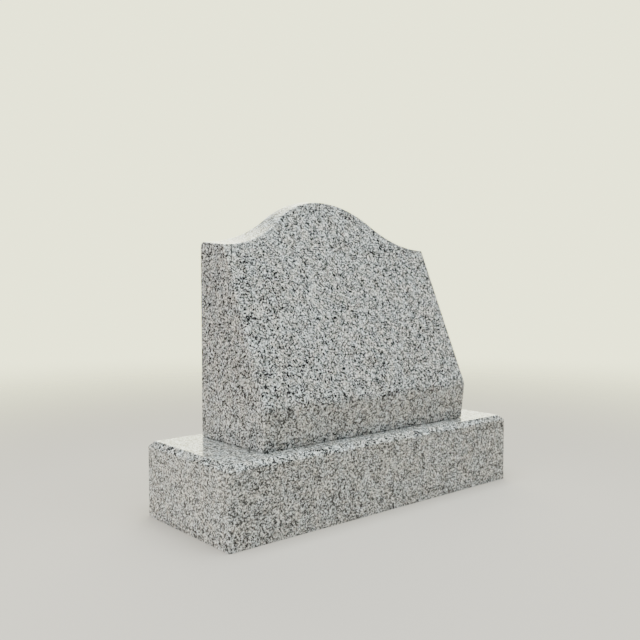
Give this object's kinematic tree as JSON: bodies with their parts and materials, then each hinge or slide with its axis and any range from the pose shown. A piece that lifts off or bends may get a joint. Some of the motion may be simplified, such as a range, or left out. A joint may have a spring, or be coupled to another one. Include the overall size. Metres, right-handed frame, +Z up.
{
  "type": "headstone",
  "caption": "Slant-faced granite headstone with an ogee top and a plain nose band, standing on a rectangular granite base.",
  "frame": {"origin": "middle of the base's underside, on the ground", "axes": "+Z up; the slanted face looks towards -Y, the upright back towards +Y, and +X is to the right of someone who reads the face"},
  "size_m": [0.56, 0.206, 0.4624],
  "materials": {
    "headstone_granite": "polished",
    "base_granite": "polished"
  },
  "bodies": {
    "root": {"headstone": "headstone_granite", "base": "base_granite"}
  },
  "joints": []
}
